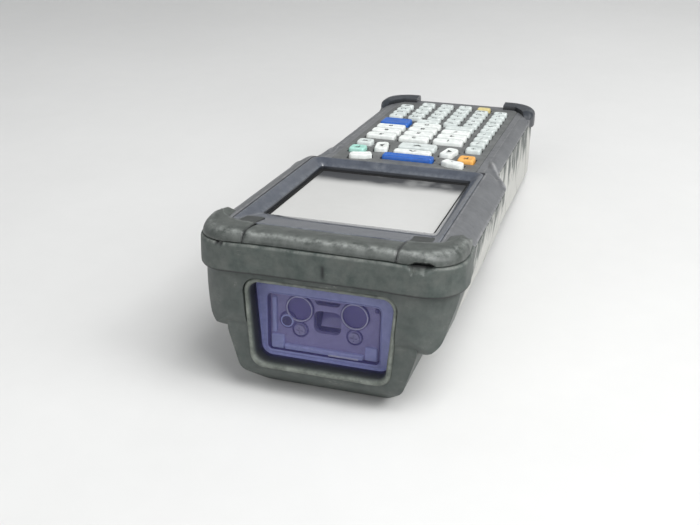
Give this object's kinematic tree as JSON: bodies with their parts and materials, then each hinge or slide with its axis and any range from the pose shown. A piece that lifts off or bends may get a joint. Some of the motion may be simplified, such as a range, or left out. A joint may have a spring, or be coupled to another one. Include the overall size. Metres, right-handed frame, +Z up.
{
  "type": "handheld barcode data terminal",
  "caption": "Rugged handheld data terminal with a scanner window in its nose, a touch display, a full keypad and a removable battery pack.",
  "frame": {"origin": "centre of the bounding box's bottom face, on the surface that the terminal lies on", "axes": "+Z up, +Y from the scanner nose to the keypad end, +X to the right seen from the nose"},
  "size_m": [0.0868, 0.22, 0.0548],
  "materials": {
    "bezel_slate": "slate blue satin, scratched",
    "black_rubber": "matt",
    "board_green": "solder mask",
    "casing_grey": "fine moulded texture, slightly polished by handling",
    "casing_worn": "scuffed side walls with pale wear streaks",
    "dark_plastic": "moulded texture",
    "dark_rubber": "dark blue-grey, smooth",
    "engine_dark": "matt",
    "engine_plastic": "fine matt moulding",
    "key_amber": "silk-matt",
    "key_blue": "silk-matt",
    "key_mint": "silk-matt",
    "key_white": "silk-matt, slightly translucent edges",
    "lens_glass": "coated lens",
    "mirror": "polished",
    "panel_grain": "coarse grained",
    "screen_film": "pale grey touch film, dulled by use",
    "screw_steel": "plated",
    "violet_glass": "violet coated flat glass",
    "worn_rubber": "grey-green overmould, rubbed pale on its edges"
  },
  "bodies": {
    "casing": {"display_bezel": "bezel_slate", "display_gasket": "black_rubber", "display_module": "engine_dark", "dock_connector": "dark_plastic", "engine_lenses": "lens_glass", "engine_mirror": "mirror", "engine_screws": "screw_steel", "front_band": "worn_rubber", "front_bumper_left": "worn_rubber", "front_bumper_right": "worn_rubber", "front_housing": "casing_grey", "housing_seal": "black_rubber", "keypad_mat": "black_rubber", "keypad_panel": "panel_grain", "main_board": "board_green", "nose_roll": "worn_rubber", "rear_bumper_left": "dark_rubber", "rear_bumper_right": "dark_rubber", "rear_housing": "casing_worn", "scan_engine_body": "engine_dark", "scan_engine_plate": "engine_plastic", "scan_window": "violet_glass", "touch_panel": "screen_film", "window_rim": "worn_rubber"},
    "key_arrow_left": {"key_arrow_left": "key_white"},
    "key_arrow_right": {"key_arrow_right": "key_white"},
    "key_down": {"key_down": "key_white"},
    "key_enter": {"key_enter": "key_blue"},
    "key_escape": {"key_escape": "key_white"},
    "key_function_1": {"key_function_1": "key_white"},
    "key_function_2": {"key_function_2": "key_white"},
    "key_function_3": {"key_function_3": "key_white"},
    "key_function_4": {"key_function_4": "key_white"},
    "key_green": {"key_green": "key_mint"},
    "key_left_1": {"key_left_1": "key_white"},
    "key_left_2": {"key_left_2": "key_white"},
    "key_left_3": {"key_left_3": "key_white"},
    "key_middle_1": {"key_middle_1": "key_white"},
    "key_middle_2": {"key_middle_2": "key_white"},
    "key_middle_3": {"key_middle_3": "key_white"},
    "key_middle_4": {"key_middle_4": "key_white"},
    "key_orange": {"key_orange": "key_amber"},
    "key_point": {"key_point": "key_white"},
    "key_right_1": {"key_right_1": "key_white"},
    "key_right_2": {"key_right_2": "key_white"},
    "key_right_3": {"key_right_3": "key_white"},
    "key_scan": {"key_scan": "key_blue"},
    "key_soft_left": {"key_soft_left": "key_white"},
    "key_soft_right": {"key_soft_right": "key_white"},
    "key_tab": {"key_tab": "key_white"},
    "key_up": {"key_up": "key_white"},
    "key_zero": {"key_zero": "key_white"},
    "letter_row_1": {"letter_row_1": "key_white"},
    "letter_row_2": {"letter_row_2": "key_white"},
    "letter_row_3": {"letter_row_3": "key_white"},
    "letter_row_4": {"letter_row_4": "key_white"},
    "letter_row_5": {"letter_row_5": "key_white"},
    "letter_row_6": {"letter_row_6": "key_white"},
    "battery_pack": {"battery_pack": "dark_plastic"},
    "battery_latch": {"battery_latch": "dark_plastic"}
  },
  "joints": [
    {"name": "key_arrow_left_press", "type": "slide", "parent": "casing", "child": "key_arrow_left", "axis": [0, -0.094, -0.9956], "range_m": [0, 0.0008], "stiffness_N_per_m": 900},
    {"name": "key_arrow_right_press", "type": "slide", "parent": "casing", "child": "key_arrow_right", "axis": [0, -0.094, -0.9956], "range_m": [0, 0.0008], "stiffness_N_per_m": 900},
    {"name": "key_down_press", "type": "slide", "parent": "casing", "child": "key_down", "axis": [0, -0.094, -0.9956], "range_m": [0, 0.0008], "stiffness_N_per_m": 900},
    {"name": "key_enter_press", "type": "slide", "parent": "casing", "child": "key_enter", "axis": [0, -0.094, -0.9956], "range_m": [0, 0.0008], "stiffness_N_per_m": 900},
    {"name": "key_escape_press", "type": "slide", "parent": "casing", "child": "key_escape", "axis": [0, -0.094, -0.9956], "range_m": [0, 0.0008], "stiffness_N_per_m": 900},
    {"name": "key_function_1_press", "type": "slide", "parent": "casing", "child": "key_function_1", "axis": [0, -0.094, -0.9956], "range_m": [0, 0.0008], "stiffness_N_per_m": 900},
    {"name": "key_function_2_press", "type": "slide", "parent": "casing", "child": "key_function_2", "axis": [0, -0.094, -0.9956], "range_m": [0, 0.0008], "stiffness_N_per_m": 900},
    {"name": "key_function_3_press", "type": "slide", "parent": "casing", "child": "key_function_3", "axis": [0, -0.094, -0.9956], "range_m": [0, 0.0008], "stiffness_N_per_m": 900},
    {"name": "key_function_4_press", "type": "slide", "parent": "casing", "child": "key_function_4", "axis": [0, -0.094, -0.9956], "range_m": [0, 0.0008], "stiffness_N_per_m": 900},
    {"name": "key_green_press", "type": "slide", "parent": "casing", "child": "key_green", "axis": [0, -0.094, -0.9956], "range_m": [0, 0.0008], "stiffness_N_per_m": 900},
    {"name": "key_left_1_press", "type": "slide", "parent": "casing", "child": "key_left_1", "axis": [0, -0.094, -0.9956], "range_m": [0, 0.0008], "stiffness_N_per_m": 900},
    {"name": "key_left_2_press", "type": "slide", "parent": "casing", "child": "key_left_2", "axis": [0, -0.094, -0.9956], "range_m": [0, 0.0008], "stiffness_N_per_m": 900},
    {"name": "key_left_3_press", "type": "slide", "parent": "casing", "child": "key_left_3", "axis": [0, -0.094, -0.9956], "range_m": [0, 0.0008], "stiffness_N_per_m": 900},
    {"name": "key_middle_1_press", "type": "slide", "parent": "casing", "child": "key_middle_1", "axis": [0, -0.094, -0.9956], "range_m": [0, 0.0008], "stiffness_N_per_m": 900},
    {"name": "key_middle_2_press", "type": "slide", "parent": "casing", "child": "key_middle_2", "axis": [0, -0.094, -0.9956], "range_m": [0, 0.0008], "stiffness_N_per_m": 900},
    {"name": "key_middle_3_press", "type": "slide", "parent": "casing", "child": "key_middle_3", "axis": [0, -0.094, -0.9956], "range_m": [0, 0.0008], "stiffness_N_per_m": 900},
    {"name": "key_middle_4_press", "type": "slide", "parent": "casing", "child": "key_middle_4", "axis": [0, -0.094, -0.9956], "range_m": [0, 0.0008], "stiffness_N_per_m": 900},
    {"name": "key_orange_press", "type": "slide", "parent": "casing", "child": "key_orange", "axis": [0, -0.094, -0.9956], "range_m": [0, 0.0008], "stiffness_N_per_m": 900},
    {"name": "key_point_press", "type": "slide", "parent": "casing", "child": "key_point", "axis": [0, -0.094, -0.9956], "range_m": [0, 0.0008], "stiffness_N_per_m": 900},
    {"name": "key_right_1_press", "type": "slide", "parent": "casing", "child": "key_right_1", "axis": [0, -0.094, -0.9956], "range_m": [0, 0.0008], "stiffness_N_per_m": 900},
    {"name": "key_right_2_press", "type": "slide", "parent": "casing", "child": "key_right_2", "axis": [0, -0.094, -0.9956], "range_m": [0, 0.0008], "stiffness_N_per_m": 900},
    {"name": "key_right_3_press", "type": "slide", "parent": "casing", "child": "key_right_3", "axis": [0, -0.094, -0.9956], "range_m": [0, 0.0008], "stiffness_N_per_m": 900},
    {"name": "key_scan_press", "type": "slide", "parent": "casing", "child": "key_scan", "axis": [0, -0.094, -0.9956], "range_m": [0, 0.0008], "stiffness_N_per_m": 900},
    {"name": "key_soft_left_press", "type": "slide", "parent": "casing", "child": "key_soft_left", "axis": [0, -0.094, -0.9956], "range_m": [0, 0.0008], "stiffness_N_per_m": 900},
    {"name": "key_soft_right_press", "type": "slide", "parent": "casing", "child": "key_soft_right", "axis": [0, -0.094, -0.9956], "range_m": [0, 0.0008], "stiffness_N_per_m": 900},
    {"name": "key_tab_press", "type": "slide", "parent": "casing", "child": "key_tab", "axis": [0, -0.094, -0.9956], "range_m": [0, 0.0008], "stiffness_N_per_m": 900},
    {"name": "key_up_press", "type": "slide", "parent": "casing", "child": "key_up", "axis": [0, -0.094, -0.9956], "range_m": [0, 0.0008], "stiffness_N_per_m": 900},
    {"name": "key_zero_press", "type": "slide", "parent": "casing", "child": "key_zero", "axis": [0, -0.094, -0.9956], "range_m": [0, 0.0008], "stiffness_N_per_m": 900},
    {"name": "letter_row_1_press", "type": "slide", "parent": "casing", "child": "letter_row_1", "axis": [0, -0.094, -0.9956], "range_m": [0, 0.0008], "stiffness_N_per_m": 900},
    {"name": "letter_row_2_press", "type": "slide", "parent": "casing", "child": "letter_row_2", "axis": [0, -0.094, -0.9956], "range_m": [0, 0.0008], "stiffness_N_per_m": 900},
    {"name": "letter_row_3_press", "type": "slide", "parent": "casing", "child": "letter_row_3", "axis": [0, -0.094, -0.9956], "range_m": [0, 0.0008], "stiffness_N_per_m": 900},
    {"name": "letter_row_4_press", "type": "slide", "parent": "casing", "child": "letter_row_4", "axis": [0, -0.094, -0.9956], "range_m": [0, 0.0008], "stiffness_N_per_m": 900},
    {"name": "letter_row_5_press", "type": "slide", "parent": "casing", "child": "letter_row_5", "axis": [0, -0.094, -0.9956], "range_m": [0, 0.0008], "stiffness_N_per_m": 900},
    {"name": "letter_row_6_press", "type": "slide", "parent": "casing", "child": "letter_row_6", "axis": [0, -0.094, -0.9956], "range_m": [0, 0.0008], "stiffness_N_per_m": 900},
    {"name": "battery_pull", "type": "slide", "parent": "casing", "child": "battery_pack", "axis": [0, -0.094, -0.9956], "range_m": [0, 0.022]},
    {"name": "latch_slide", "type": "slide", "parent": "casing", "child": "battery_latch", "axis": [0, -0.9956, 0.094], "range_m": [0, 0.0026], "stiffness_N_per_m": 500}
  ]
}
